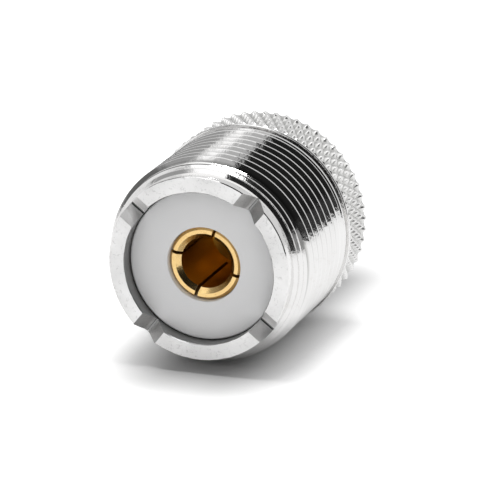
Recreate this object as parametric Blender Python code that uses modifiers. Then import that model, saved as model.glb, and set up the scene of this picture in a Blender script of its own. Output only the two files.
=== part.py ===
"""A coaxial adapter that stands on its small rear jack, with its large threaded jack facing up.

The body is turned brass with a bright nickel plating. Its front end is a castellated rim and a
coarse thread, its back end a diamond-knurled grip ring. A small threaded jack is pressed into the
back. Two white insulators carry the two gold-plated contacts on the axis.
All values are in metres, and +Z runs up the axis from the foot to the castellated rim.
"""
import math

import bmesh
import bpy
from mathutils import Matrix

# The large thread, 5/8 inch across with 24 turns to the inch.
THREAD_RADIUS = 0.00794
THREAD_PITCH = 0.0254 / 24
THREAD_DEPTH = 0.00065
THREAD_CREST = 0.00014
THREAD_LENGTH = 0.00885
THREAD_END_LAND = 0.00045
THREAD_START_ANGLE = math.radians(-98)
LEAD_IN_ANGLE = math.radians(30)
RUN_OUT_TURN = 0.5

# The nose in front of the thread. Each radius is a step inside the one behind it.
COLLAR_STEP = 0.00059
COLLAR_RADIUS = THREAD_RADIUS - COLLAR_STEP
COLLAR_LENGTH = 0.0002
NOSE_STEP = 0.00025
NOSE_RADIUS = COLLAR_RADIUS - NOSE_STEP
NOSE_LENGTH = 0.0011
NOSE_EDGE_BREAK = 0.00006

# The four notches across the rim.
NOTCH_WIDTH = 0.00215
NOTCH_DEPTH = 0.0011
NOTCH_FLOOR_WIDTH = 0.00014

# The knurled grip ring, a step outside the thread.
GRIP_STEP = 0.00016
GRIP_RADIUS = THREAD_RADIUS + GRIP_STEP
GRIP_LENGTH = 0.0044
GRIP_EDGE_BREAK = 0.0001
GRIP_FRONT_LAND = 0.0002
GRIP_REAR_CHAMFER = 0.00025
KNURL_COUNT = 57
KNURL_LENGTH_PITCH = 0.0015
KNURL_RISE = 0.0001
KNURL_SINK = 0.00015
KNURL_START_ANGLE = math.radians(2.6)

# The front bore of the shell, and the web that closes its back.
RIM_WALL = 0.00123
RIM_BORE_RADIUS = NOSE_RADIUS - RIM_WALL
BORE_EDGE_BREAK = 0.00006
WEB_LENGTH = 0.0016819

# The small jack at the back, 1/4 inch across with 36 turns to the inch. Its other radii are steps
# from that thread.
REAR_JACK_LENGTH = 0.0086
REAR_THREAD_RADIUS = 0.003175
REAR_THREAD_PITCH = 0.0254 / 36
REAR_THREAD_DEPTH = 0.0004
REAR_THREAD_CREST = 0.0001
REAR_THREAD_START_ANGLE = math.radians(5)
REAR_NECK_STEP = 0.000475
REAR_NECK_RADIUS = REAR_THREAD_RADIUS - REAR_NECK_STEP
REAR_NECK_LENGTH = 0.0007
REAR_TIP_CHAMFER = 0.00025
REAR_MOUTH_STEP = 0.000875
REAR_MOUTH_RADIUS = REAR_THREAD_RADIUS - REAR_MOUTH_STEP
REAR_MOUTH_DEPTH = 0.0019
LINE_BORE_STEP = 0.00023
LINE_BORE_RADIUS = REAR_MOUTH_RADIUS - LINE_BORE_STEP
STEM_STEP = 0.000425
STEM_RADIUS = REAR_THREAD_RADIUS + STEM_STEP
STEM_LENGTH = 0.003
STEM_CHAMFER = 0.0002
FLANGE_STEP = 0.0007
FLANGE_RADIUS = STEM_RADIUS + FLANGE_STEP
FLANGE_LENGTH = 0.001
FLANGE_EDGE_BREAK = 0.00015

# The front insulator.
INSULATOR_RECESS = 0.0012
INSULATOR_EDGE_RADIUS = 0.00015
INSULATOR_FLOOR = 0.0009

# The front contact, a slotted socket for a pin of 4 mm.
SOCKET_RADIUS = 0.001975
SOCKET_WALL = 0.00086
CONTACT_RADIUS = SOCKET_RADIUS + SOCKET_WALL
CONTACT_RECESS = 0.00145
CONTACT_EDGE = 0.00022
CONTACT_EDGE_LENGTH = 0.0003
SOCKET_FLOOR = 0.00047
SOCKET_LEAD_IN = 0.00035
SLOT_WIDTH = 0.00025
SLOT_STOP = 0.0006
SLOT_ANGLE = math.radians(22)

# The rear contact, a thin rod with its own small socket.
PIN_RADIUS = 0.000635
PIN_SOCKET_RADIUS = 0.00046
PIN_SOCKET_DEPTH = 0.003
PIN_SLOT_WIDTH = 0.00015
PIN_SLOT_DEPTH = 0.0024
PIN_LEAD_IN = 0.00008
SPIGOT_LENGTH = 0.001

# The clearance between pieces that seat on or in each other.
FIT = 0.00004

# How far a cutter runs past the face that it opens.
OVERRUN = 0.0005

# Points nearer than this are one point.
MERGE_DISTANCE = 1e-8

# Facets around each kind of turned piece. The knurl takes two columns for each diamond.
SHELL_FACETS = 60
BUSH_FACETS = 40
JACK_FACETS = 22
PIN_FACETS = 20
GRIP_FACETS = 2 * KNURL_COUNT
EDGE_ARC_STEPS = 3

# Heights along the axis, stacked up from the foot.
FLANGE_TOP = REAR_JACK_LENGTH + FLANGE_LENGTH
SHELL_BACK = FLANGE_TOP + FIT
GRIP_FRONT = SHELL_BACK + GRIP_LENGTH
LEAD_IN_BACK = GRIP_FRONT + THREAD_LENGTH
LEAD_IN_FRONT = LEAD_IN_BACK + (THREAD_RADIUS - COLLAR_RADIUS) / math.tan(LEAD_IN_ANGLE)
COLLAR_FRONT = LEAD_IN_FRONT + COLLAR_LENGTH
NOSE_BACK = COLLAR_FRONT + COLLAR_RADIUS - NOSE_RADIUS
RIM_FACE = NOSE_BACK + NOSE_LENGTH
INSULATOR_FACE = RIM_FACE - INSULATOR_RECESS
CONTACT_FACE = RIM_FACE - CONTACT_RECESS
STEM_TOP = FLANGE_TOP + STEM_LENGTH
POCKET_TOP = STEM_TOP + FIT
BORE_SHOULDER = POCKET_TOP + WEB_LENGTH
INSULATOR_BACK = BORE_SHOULDER + FIT
CONTACT_BACK = INSULATOR_BACK + INSULATOR_FLOOR + FIT
SPIGOT_TOP = CONTACT_BACK + SPIGOT_LENGTH
SOCKET_BOTTOM = SPIGOT_TOP + FIT + SOCKET_FLOOR


def clear_scene():
    """Empty the scene before modelling."""
    for old in list(bpy.data.objects):
        bpy.data.objects.remove(old, do_unlink=True)


def new_collection(name):
    """Make a collection under the scene's own."""
    collection = bpy.data.collections.new(name)
    bpy.context.scene.collection.children.link(collection)
    return collection


def metal(name, colour, roughness):
    """Make a bare or plated metal finish."""
    material = bpy.data.materials.new(name)
    material.use_nodes = True
    shader = material.node_tree.nodes["Principled BSDF"]
    shader.inputs["Base Color"].default_value = (*colour, 1.0)
    shader.inputs["Metallic"].default_value = 1.0
    shader.inputs["Roughness"].default_value = roughness
    return material


def plastic(name, colour, roughness):
    """Make a plain moulded or machined plastic finish."""
    material = metal(name, colour, roughness)
    shader = material.node_tree.nodes["Principled BSDF"]
    shader.inputs["Metallic"].default_value = 0.0
    return material


def mesh_object(name, mesh, collection, height=0.0):
    """Put a mesh in a collection, with its origin on the axis at a height."""
    thing = bpy.data.objects.new(name, mesh)
    thing.location.z = height
    collection.objects.link(thing)
    return thing


def turned(name, outline, facets, collection, datum=0.0):
    """Turn an outline of (radius, height) points about Z.

    The points run down the outer side first. An outline that starts on the axis stays open
    there, and any other is closed. The object's origin lies on the axis at the datum height.
    """
    mesh = bpy.data.meshes.new(name)
    points = [(radius, 0.0, height - datum) for radius, height in outline]
    edges = [(index, index + 1) for index in range(len(points) - 1)]
    if outline[0][0] > 0.0:
        edges.append((len(points) - 1, 0))
    mesh.from_pydata(points, edges, [])
    thing = mesh_object(name, mesh, collection, datum)
    turn = thing.modifiers.new("Turn", "SCREW")
    turn.axis = "Z"
    turn.angle = math.tau
    turn.steps = facets
    turn.render_steps = facets
    turn.use_merge_vertices = True
    turn.merge_threshold = MERGE_DISTANCE
    return thing


def settle(thing, sharp_angle=math.radians(28)):
    """Turn a modelled object into one plain mesh, smooth but for its sharp edges."""
    graph = bpy.context.evaluated_depsgraph_get()
    mesh = bpy.data.meshes.new_from_object(thing.evaluated_get(graph))
    mesh.name = thing.name
    thing.modifiers.clear()
    thing.data = mesh
    form = bmesh.new()
    form.from_mesh(mesh)
    bmesh.ops.remove_doubles(form, verts=form.verts, dist=MERGE_DISTANCE)
    form.to_mesh(mesh)
    form.free()
    mesh.shade_smooth()
    mesh.set_sharp_from_angle(angle=sharp_angle)


def combine(thing, other, operation):
    """Cut another object out of this one, or fuse it on."""
    boolean = thing.modifiers.new(other.name, "BOOLEAN")
    boolean.operation = operation
    boolean.solver = "EXACT"
    boolean.object = other


def guide(thing):
    """Show a cutter as wires and leave it out of renders."""
    thing.display_type = "WIRE"
    thing.hide_render = True
    return thing


def round_edge(radius, height, size, corner):
    """Points of a quarter round between a face and a side.

    The corner is 1 where the side faces out from the axis and -1 where it faces the axis.
    The points run from the face over the edge and down the side.
    """
    points = []
    for step in range(EDGE_ARC_STEPS + 1):
        angle = math.pi / 2 * step / EDGE_ARC_STEPS
        across = radius - corner * size * (1 - math.sin(angle))
        points.append((across, height - size * (1 - math.cos(angle))))
    return points


def shell_blank(collection):
    """The solid turned outline of the nose, the lead-in and the bar that becomes the thread."""
    outline = [
        (0.0, RIM_FACE),
        (NOSE_RADIUS - NOSE_EDGE_BREAK, RIM_FACE),
        (NOSE_RADIUS, RIM_FACE - NOSE_EDGE_BREAK),
        (NOSE_RADIUS, NOSE_BACK),
        (COLLAR_RADIUS, COLLAR_FRONT),
        (COLLAR_RADIUS, LEAD_IN_FRONT),
        (THREAD_RADIUS, LEAD_IN_BACK),
        (THREAD_RADIUS, SHELL_BACK + GRIP_LENGTH / 4),
        (0.0, SHELL_BACK + GRIP_LENGTH / 4),
    ]
    return turned("shell", outline, SHELL_FACETS, collection, SHELL_BACK)


def knurl_rows():
    """Heights of the rows of the knurl, half a diamond apart, from the front."""
    front = GRIP_FRONT - GRIP_EDGE_BREAK - GRIP_FRONT_LAND
    half = KNURL_LENGTH_PITCH / 2
    count = int((front - SHELL_BACK - GRIP_REAR_CHAMFER) / half)
    return [front - half * row for row in range(count + 1)]


def grip_ring(collection):
    """The grip ring as a turned disc whose rim is then pressed into diamonds."""
    rows = knurl_rows()
    outline = [
        (0.0, GRIP_FRONT),
        (GRIP_RADIUS - GRIP_EDGE_BREAK, GRIP_FRONT),
        (GRIP_RADIUS, GRIP_FRONT - GRIP_EDGE_BREAK),
        *[(GRIP_RADIUS, height) for height in rows],
        (GRIP_RADIUS - GRIP_REAR_CHAMFER, SHELL_BACK),
        (0.0, SHELL_BACK),
    ]
    ring = turned("grip_ring_blank", outline, GRIP_FACETS, collection, SHELL_BACK)
    settle(ring)
    press_knurl(ring.data, [height - SHELL_BACK for height in rows])
    ring.rotation_euler.z = KNURL_START_ANGLE
    return guide(ring)


def press_knurl(mesh, rows):
    """Raise and sink the rim's points by turns, and fold each face along its valley."""
    form = bmesh.new()
    form.from_mesh(mesh)
    valleys = set()
    for point in form.verts:
        radius = math.hypot(point.co.x, point.co.y)
        nearest = min(range(len(rows)), key=lambda row: abs(rows[row] - point.co.z))
        if radius < GRIP_RADIUS - FIT or abs(rows[nearest] - point.co.z) > FIT:
            continue
        column = round(math.atan2(point.co.y, point.co.x) / math.tau * GRIP_FACETS)
        sunk = (column + nearest) % 2 == 1
        height = GRIP_RADIUS + (-KNURL_SINK if sunk else KNURL_RISE)
        point.co.x *= height / radius
        point.co.y *= height / radius
        if sunk:
            valleys.add(point)
    for face in list(form.faces):
        low = [point for point in face.verts if point in valleys]
        if len(low) == 2 and len(face.verts) == 4 and not form.edges.get(low):
            bmesh.utils.face_split(face, *low)
    form.to_mesh(mesh)
    form.free()


def shell_bores(collection):
    """The front bore, the hole through the web and the pocket for the rear jack's stem."""
    pocket_radius = STEM_RADIUS + FIT
    outline = [
        (0.0, RIM_FACE + OVERRUN),
        (RIM_BORE_RADIUS + BORE_EDGE_BREAK + OVERRUN, RIM_FACE + OVERRUN),
        (RIM_BORE_RADIUS, RIM_FACE - BORE_EDGE_BREAK),
        (RIM_BORE_RADIUS, BORE_SHOULDER),
        (LINE_BORE_RADIUS, BORE_SHOULDER),
        (LINE_BORE_RADIUS, POCKET_TOP),
        (pocket_radius, POCKET_TOP),
        (pocket_radius, SHELL_BACK - OVERRUN),
        (0.0, SHELL_BACK - OVERRUN),
    ]
    return guide(turned("shell_bores", outline, SHELL_FACETS, collection))


def thread_groove(name, radius, pitch, depth, crest, low, high, facets, run_out, collection):
    """The helical groove between the turns of a thread, from a low to a high place on the axis.

    It comes in from the air at its upper end. At its lower end it rises out of the metal over the
    given part of a turn. The section stands a little proud of the crests, but not so far that
    neighbouring turns of it meet.
    """
    slope = (pitch - crest) / 2 / depth
    outer_radius = radius + crest / 4 / slope
    half_width = slope * (outer_radius - radius + depth)
    section = [
        (radius - depth, low),
        (outer_radius, low - half_width),
        (outer_radius, low + half_width),
    ]
    groove = turned(name, section, facets, collection)
    groove.modifiers["Turn"].screw_offset = pitch
    groove.modifiers["Turn"].iterations = math.ceil((high - low) / pitch)
    groove.modifiers["Turn"].use_merge_vertices = False
    graph = bpy.context.evaluated_depsgraph_get()
    mesh = bpy.data.meshes.new_from_object(groove.evaluated_get(graph))
    groove.modifiers.clear()
    groove.data = mesh
    form = bmesh.new()
    form.from_mesh(mesh)
    form.verts.ensure_lookup_table()
    for point in form.verts:
        turns = point.index // len(section) / facets
        rise = 1 - turns / run_out if turns < run_out else 0.0
        lift = 1 + rise * (depth + FIT) / math.hypot(point.co.x, point.co.y)
        point.co.x *= lift
        point.co.y *= lift
    open_edges = [edge for edge in form.edges if edge.is_boundary]
    bmesh.ops.holes_fill(form, edges=open_edges)
    bmesh.ops.recalc_face_normals(form, faces=form.faces)
    form.to_mesh(mesh)
    form.free()
    return guide(groove)


def block(name, length, width, low, high, angle, collection, low_width=None):
    """A bar across the axis, which may narrow to another width at its lower edge."""
    form = bmesh.new()
    bmesh.ops.create_cube(form, size=1.0)
    bmesh.ops.scale(form, vec=(length, width, high - low), verts=form.verts)
    bmesh.ops.translate(form, vec=(0.0, 0.0, (low + high) / 2), verts=form.verts)
    if low_width is not None:
        foot = [point for point in form.verts if point.co.z < (low + high) / 2]
        bmesh.ops.scale(form, vec=(1.0, low_width / width, 1.0), verts=foot)
    bmesh.ops.rotate(form, cent=(0, 0, 0), matrix=Matrix.Rotation(angle, 3, "Z"), verts=form.verts)
    mesh = bpy.data.meshes.new(name)
    form.to_mesh(mesh)
    form.free()
    return guide(mesh_object(name, mesh, collection))


def notch_cutters(collection):
    """Two bars of V section, each of which opens two notches that face each other."""
    top = RIM_FACE + OVERRUN
    flare = (NOTCH_WIDTH - NOTCH_FLOOR_WIDTH) / NOTCH_DEPTH
    top_width = NOTCH_WIDTH + flare * OVERRUN
    bars = []
    for index in range(2):
        name = f"rim_notch_{index + 1}"
        length = 2 * (NOSE_RADIUS + OVERRUN)
        low = RIM_FACE - NOTCH_DEPTH
        angle = index * math.pi / 2
        bars.append(block(name, length, top_width, low, top, angle, collection, NOTCH_FLOOR_WIDTH))
    return bars


def slot_cutters(name, radius, width, low, high, first_angle, collection):
    """Two thin saw cuts across the axis, which open four slots."""
    bars = []
    for index in range(2):
        angle = first_angle + index * math.pi / 2
        length = 2 * (radius + OVERRUN)
        bars.append(block(f"{name}_{index + 1}", length, width, low, high, angle, collection))
    return bars


def make_shell(parts, cutters):
    """The nickel-plated body: turned, knurled, bored, threaded and notched from one bar."""
    shell = shell_blank(parts)
    combine(shell, grip_ring(cutters), "UNION")
    combine(shell, shell_bores(cutters), "DIFFERENCE")
    groove = thread_groove(
        "thread_groove", THREAD_RADIUS, THREAD_PITCH, THREAD_DEPTH, THREAD_CREST,
        GRIP_FRONT + THREAD_END_LAND, COLLAR_FRONT + OVERRUN, SHELL_FACETS, RUN_OUT_TURN, cutters,
    )
    groove.rotation_euler.z = THREAD_START_ANGLE
    combine(shell, groove, "DIFFERENCE")
    for cutter in notch_cutters(cutters):
        combine(shell, cutter, "DIFFERENCE")
    settle(shell)
    shell.data.materials.append(metal("shell nickel", (0.80, 0.80, 0.79), 0.14))


def make_rear_jack(parts, cutters):
    """The small threaded jack, whose stem is pressed into the back of the shell."""
    neck_bottom = REAR_JACK_LENGTH - REAR_NECK_LENGTH
    thread_top = neck_bottom - (REAR_THREAD_RADIUS - REAR_NECK_RADIUS)
    outline = [
        (LINE_BORE_RADIUS, STEM_TOP),
        (STEM_RADIUS - STEM_CHAMFER, STEM_TOP),
        (STEM_RADIUS, STEM_TOP - STEM_CHAMFER),
        (STEM_RADIUS, FLANGE_TOP),
        (FLANGE_RADIUS - FLANGE_EDGE_BREAK, FLANGE_TOP),
        (FLANGE_RADIUS, FLANGE_TOP - FLANGE_EDGE_BREAK),
        (FLANGE_RADIUS, REAR_JACK_LENGTH),
        (REAR_NECK_RADIUS, REAR_JACK_LENGTH),
        (REAR_NECK_RADIUS, neck_bottom),
        (REAR_THREAD_RADIUS, thread_top),
        (REAR_THREAD_RADIUS, REAR_TIP_CHAMFER),
        (REAR_THREAD_RADIUS - REAR_TIP_CHAMFER, 0.0),
        (REAR_MOUTH_RADIUS, 0.0),
        (REAR_MOUTH_RADIUS, REAR_MOUTH_DEPTH),
        (LINE_BORE_RADIUS, REAR_MOUTH_DEPTH),
    ]
    jack = turned("rear_jack", outline, JACK_FACETS, parts)
    groove = thread_groove(
        "rear_thread_groove", REAR_THREAD_RADIUS, REAR_THREAD_PITCH, REAR_THREAD_DEPTH,
        REAR_THREAD_CREST, -OVERRUN, thread_top, JACK_FACETS, 0.0, cutters,
    )
    groove.rotation_euler.z = REAR_THREAD_START_ANGLE
    combine(jack, groove, "DIFFERENCE")
    settle(jack)
    jack.data.materials.append(metal("rear jack nickel", (0.80, 0.80, 0.79), 0.16))


def make_front_insulator(parts):
    """The white bush that fills the front bore and holds the large contact."""
    hole_radius = CONTACT_RADIUS + FIT
    outer_radius = RIM_BORE_RADIUS - FIT
    floor = INSULATOR_BACK + INSULATOR_FLOOR
    outline = [
        *round_edge(outer_radius, INSULATOR_FACE, INSULATOR_EDGE_RADIUS, 1),
        (outer_radius, INSULATOR_BACK),
        (PIN_RADIUS + FIT, INSULATOR_BACK),
        (PIN_RADIUS + FIT, floor),
        (hole_radius, floor),
        *reversed(round_edge(hole_radius, INSULATOR_FACE, INSULATOR_EDGE_RADIUS / 2, -1)),
    ]
    insulator = turned("front_insulator", outline, BUSH_FACETS, parts, INSULATOR_BACK)
    settle(insulator)
    insulator.data.materials.append(plastic("front insulator white", (0.72, 0.72, 0.71), 0.45))


def make_rear_insulator(parts):
    """The thin white bush around the rear contact."""
    outer_radius = LINE_BORE_RADIUS - FIT
    outline = [
        (outer_radius, BORE_SHOULDER),
        *reversed(mirrored_edge(outer_radius, REAR_MOUTH_DEPTH, INSULATOR_EDGE_RADIUS)),
        (PIN_RADIUS + FIT, REAR_MOUTH_DEPTH),
        (PIN_RADIUS + FIT, BORE_SHOULDER),
    ]
    insulator = turned("rear_insulator", outline, BUSH_FACETS, parts, REAR_MOUTH_DEPTH)
    settle(insulator)
    insulator.data.materials.append(plastic("rear insulator white", (0.72, 0.72, 0.71), 0.45))


def mirrored_edge(radius, height, size):
    """Points of a quarter round at a lower edge, from the lower face up to the side."""
    return [(across, 2 * height - up) for across, up in round_edge(radius, height, size, 1)]


def make_front_contact(parts, cutters):
    """The gold-plated socket, sawn into four fingers that spring on the pin."""
    spigot_radius = PIN_RADIUS + FIT
    spigot_top = SPIGOT_TOP + FIT
    outline = [
        (CONTACT_RADIUS - CONTACT_EDGE, CONTACT_FACE),
        (CONTACT_RADIUS, CONTACT_FACE - CONTACT_EDGE_LENGTH),
        (CONTACT_RADIUS, CONTACT_BACK),
        (spigot_radius, CONTACT_BACK),
        (spigot_radius, spigot_top),
        (0.0, spigot_top),
    ]
    bore = [
        (0.0, CONTACT_FACE + OVERRUN),
        (SOCKET_RADIUS + SOCKET_LEAD_IN + OVERRUN, CONTACT_FACE + OVERRUN),
        (SOCKET_RADIUS, CONTACT_FACE - SOCKET_LEAD_IN),
        (SOCKET_RADIUS, SOCKET_BOTTOM),
        (0.0, SOCKET_BOTTOM),
    ]
    contact = turned("front_contact", [(0.0, CONTACT_FACE), *outline], BUSH_FACETS, parts, CONTACT_BACK)
    combine(contact, guide(turned("socket_bore", bore, BUSH_FACETS, cutters)), "DIFFERENCE")
    low = SOCKET_BOTTOM + SLOT_STOP
    high = CONTACT_FACE + OVERRUN
    saws = slot_cutters("socket_slot", CONTACT_RADIUS, SLOT_WIDTH, low, high, SLOT_ANGLE, cutters)
    for saw in saws:
        combine(contact, saw, "DIFFERENCE")
    settle(contact)
    contact.data.materials.append(metal("front contact gold", (0.83, 0.55, 0.22), 0.2))


def make_rear_contact(parts, cutters):
    """The thin gold-plated rod through the rear jack, with a small split socket at its foot."""
    bore_top = REAR_MOUTH_DEPTH + PIN_SOCKET_DEPTH
    outline = [
        (0.0, SPIGOT_TOP),
        (PIN_RADIUS - PIN_LEAD_IN, SPIGOT_TOP),
        (PIN_RADIUS, SPIGOT_TOP - PIN_LEAD_IN),
        (PIN_RADIUS, REAR_MOUTH_DEPTH + PIN_LEAD_IN),
        (PIN_RADIUS - PIN_LEAD_IN, REAR_MOUTH_DEPTH),
        (PIN_SOCKET_RADIUS, REAR_MOUTH_DEPTH),
        (PIN_SOCKET_RADIUS, bore_top),
        (0.0, bore_top + PIN_SOCKET_RADIUS),
    ]
    contact = turned("rear_contact", outline, PIN_FACETS, parts, REAR_MOUTH_DEPTH)
    low = REAR_MOUTH_DEPTH - OVERRUN
    high = REAR_MOUTH_DEPTH + PIN_SLOT_DEPTH
    saws = slot_cutters("pin_slot", PIN_RADIUS, PIN_SLOT_WIDTH, low, high, SLOT_ANGLE, cutters)
    for saw in saws:
        combine(contact, saw, "DIFFERENCE")
    settle(contact)
    contact.data.materials.append(metal("rear contact gold", (0.83, 0.55, 0.22), 0.2))


def main():
    clear_scene()
    parts = new_collection("uhf connector")
    cutters = new_collection("cutters")
    make_shell(parts, cutters)
    make_rear_jack(parts, cutters)
    make_front_insulator(parts)
    make_rear_insulator(parts)
    make_front_contact(parts, cutters)
    make_rear_contact(parts, cutters)


main()
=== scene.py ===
# %% [markdown]
# # A coaxial adapter, dressed over its CAD frame
#
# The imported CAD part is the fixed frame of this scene. Every piece below is modelled at its real
# size and place, in metres, and stands for one CAD node. It is turned metal for the most part,
# so most pieces start as an outline that is spun about the part's axis, as a lathe would do it.

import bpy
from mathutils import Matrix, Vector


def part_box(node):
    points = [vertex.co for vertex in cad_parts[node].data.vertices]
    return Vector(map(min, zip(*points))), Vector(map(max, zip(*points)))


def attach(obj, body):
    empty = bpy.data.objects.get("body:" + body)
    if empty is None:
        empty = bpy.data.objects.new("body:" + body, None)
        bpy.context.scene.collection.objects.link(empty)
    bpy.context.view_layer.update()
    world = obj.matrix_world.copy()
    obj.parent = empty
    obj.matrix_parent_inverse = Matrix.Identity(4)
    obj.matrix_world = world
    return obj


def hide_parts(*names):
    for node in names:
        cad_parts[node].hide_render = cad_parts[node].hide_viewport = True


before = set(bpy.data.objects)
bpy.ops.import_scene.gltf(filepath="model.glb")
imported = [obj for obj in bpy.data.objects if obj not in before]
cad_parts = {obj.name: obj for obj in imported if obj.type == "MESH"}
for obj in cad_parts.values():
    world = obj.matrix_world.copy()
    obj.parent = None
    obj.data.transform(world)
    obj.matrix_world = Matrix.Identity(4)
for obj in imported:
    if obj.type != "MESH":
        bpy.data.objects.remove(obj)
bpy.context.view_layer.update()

# %% [markdown]
# The rest of the tools come from Blender itself. The heights along the axis are read from the
# frame's boxes, so that a piece can't drift away from the node that it stands for.

# %% Tools and heights
import math
import random

import bmesh
import bpy
from mathutils import Vector

MM = 0.001
RIM_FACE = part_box("shell")[1].z
SHELL_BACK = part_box("shell")[0].z
BUSH_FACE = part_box("front_insulator")[1].z
BUSH_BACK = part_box("front_insulator")[0].z
SOCKET_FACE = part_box("front_contact")[1].z
SOCKET_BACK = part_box("front_contact")[0].z
PIN_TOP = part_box("rear_contact")[1].z
STEM_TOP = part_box("rear_jack")[1].z
print("rim face at", round(RIM_FACE / MM, 3), "mm, shell back at", round(SHELL_BACK / MM, 3), "mm")

# %% [markdown]
# ## Helpers for modelling
#
# An operator acts on everything that is selected, and the frame's nodes are selected after they
# are loaded. So each step starts with a clean selection and one active piece.

# %% Pick one piece and move its points
def clear_selection():
    """Leave edit mode and select nothing."""
    if bpy.context.mode != "OBJECT":
        bpy.ops.object.mode_set(mode="OBJECT")
    bpy.ops.object.select_all(action="DESELECT")


def pick(piece):
    """Select one piece alone and make it the active one."""
    clear_selection()
    piece.select_set(True)
    bpy.context.view_layer.objects.active = piece


def select_points(piece, wanted):
    """In edit mode, select the points whose place passes a test."""
    form = bmesh.from_edit_mesh(piece.data)
    for point in form.verts:
        point.select = bool(wanted(point.co))
    form.select_mode = {"VERT"}
    form.select_flush_mode()
    bmesh.update_edit_mesh(piece.data)


def from_axis(place):
    """How far a place is from the part's axis."""
    return math.hypot(place.x, place.y)


def move_out(point, distance):
    """Move a mesh point straight away from the axis."""
    factor = 1 + distance / from_axis(point.co)
    point.co.x *= factor
    point.co.y *= factor


# %% [markdown]
# A turned piece is one outline and one spin. The outline could be typed in as a mesh, but drawing
# it with extrude is what a hand would do: one point, then each next point pulled out of the last.

# %% Draw an outline and spin it
MERGE = 1e-7


def draw_outline(name, points):
    """Draw a closed outline of (radius, height) points beside the axis, in edit mode."""
    clear_selection()
    bpy.ops.mesh.primitive_plane_add(size=MM)
    piece = bpy.context.object
    piece.name = name
    piece.data.name = name
    bpy.ops.object.mode_set(mode="EDIT")
    bpy.ops.mesh.select_mode(type="VERT")
    bpy.ops.mesh.merge(type="CENTER")
    bpy.ops.transform.translate(value=(points[0][0], 0, points[0][1]))
    for (from_r, from_z), (to_r, to_z) in zip(points, points[1:]):
        step = (to_r - from_r, 0, to_z - from_z)
        bpy.ops.mesh.extrude_region_move(TRANSFORM_OT_translate={"value": step})
    form = bmesh.from_edit_mesh(piece.data)
    form.verts.ensure_lookup_table()
    form.verts[0].select = True
    form.verts[len(points) - 1].select = True
    bmesh.update_edit_mesh(piece.data)
    bpy.ops.mesh.edge_face_add()
    return piece


def tidy_mesh(piece):
    """Merge points that lie on each other and turn every face outwards."""
    pick(piece)
    bpy.ops.object.mode_set(mode="EDIT")
    bpy.ops.mesh.select_all(action="SELECT")
    bpy.ops.mesh.remove_doubles(threshold=MERGE)
    bpy.ops.mesh.normals_make_consistent(inside=False)
    bpy.ops.object.mode_set(mode="OBJECT")


def turn(name, outline, steps):
    """Turn a closed outline into a solid of revolution."""
    piece = draw_outline(name, outline)
    bpy.ops.mesh.select_all(action="SELECT")
    bpy.ops.mesh.spin(steps=steps, angle=math.tau, center=(0, 0, 0), axis=(0, 0, 1))
    tidy_mesh(piece)
    return piece


# %% [markdown]
# Threads, notches and saw cuts are made as in a workshop: with a cutter of the right shape. The
# boolean modifier takes the cutter out of the piece, and is applied straight away.

# %% Cut one piece with another
def carve(piece, cutter, operation="DIFFERENCE"):
    """Apply a boolean with the cutter, then throw the cutter away."""
    pick(piece)
    cut = piece.modifiers.new(cutter.name, "BOOLEAN")
    cut.operation = operation
    cut.solver = "EXACT"
    cut.object = cutter
    bpy.ops.object.modifier_apply(modifier=cut.name)
    bpy.data.objects.remove(cutter)


def bar(name, length, width, low, high, angle):
    """A straight bar across the axis, as wide as the saw that it stands for."""
    clear_selection()
    bpy.ops.mesh.primitive_cube_add(size=1, location=(0, 0, (low + high) / 2))
    piece = bpy.context.object
    piece.name = name
    piece.scale = (length, width, high - low)
    piece.rotation_euler.z = angle
    bpy.ops.object.transform_apply(location=True, rotation=True, scale=True)
    return piece


def smooth(piece, angle=28):
    """Shade a piece smooth, but keep the edges that are sharper than an angle in degrees."""
    pick(piece)
    bpy.ops.object.shade_smooth_by_angle(angle=math.radians(angle))


def report(piece):
    """Print how large and how fine a piece is."""
    piece.data.calc_loop_triangles()
    size = [round(v / MM, 2) for v in piece.dimensions]
    print(piece.name, "size in mm", size, "triangles", len(piece.data.loop_triangles))


# %% [markdown]
# ## The shell
#
# The body of the adapter is one turned bar: a notched nose, a lead-in, the large thread and a
# knurled grip ring. The thread is 5/8 inch across with 24 turns to the inch. The body is spun
# first, with a plain cylinder where the thread comes. On the lead-in the thread's first crest
# stands as a thin ridge. Next to the grip ring the turning tool has left a narrow relief and a
# shallow groove, which set the thread off from the ring. FIT is the small clearance that the CAD
# nodes keep from each other, and so do the pieces.

# %% Turn the shell's bar
SHELL_STEPS = 128
EDGE = 0.06 * MM
NEAR = EDGE / 4
HAIR = 0.02 * MM
FIT = 0.04 * MM

THREAD_RADIUS = 7.94 * MM
THREAD_PITCH = 25.4 / 24 * MM
COLLAR_RADIUS = 7.35 * MM
NOSE_RADIUS = 7.1 * MM
RIM_BORE = 5.87 * MM
GRIP_RADIUS = 8.1 * MM
RING_INNER = 6.9 * MM
CORE_RADIUS = RING_INNER + 0.3 * MM

GRIP_FRONT = SHELL_BACK + 4.4 * MM
LEAD_IN_BACK = GRIP_FRONT + 8.85 * MM
NOSE_BACK = RIM_FACE - 1.1 * MM
COLLAR_FRONT = NOSE_BACK - (COLLAR_RADIUS - NOSE_RADIUS)
COLLAR_BACK = COLLAR_FRONT - 0.28 * MM

FIRST_CREST = LEAD_IN_BACK + 0.57 * MM
FIRST_RADIUS = 7.58 * MM
SHALLOW_PLACE = GRIP_FRONT + 0.8 * MM
SHALLOW_HALF = 0.16 * MM
SHALLOW_DEPTH = 0.2 * MM
RELIEF_FRONT = GRIP_FRONT + 0.42 * MM
RELIEF_DEPTH = 0.3 * MM

POCKET_RADIUS = 3.64 * MM
POCKET_TOP = SHELL_BACK + 3.0 * MM
LINE_BORE = 2.07 * MM
BORE_SHOULDER = BUSH_BACK - FIT
RECESS_FLOOR = BUSH_FACE - 0.1 * MM

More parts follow.
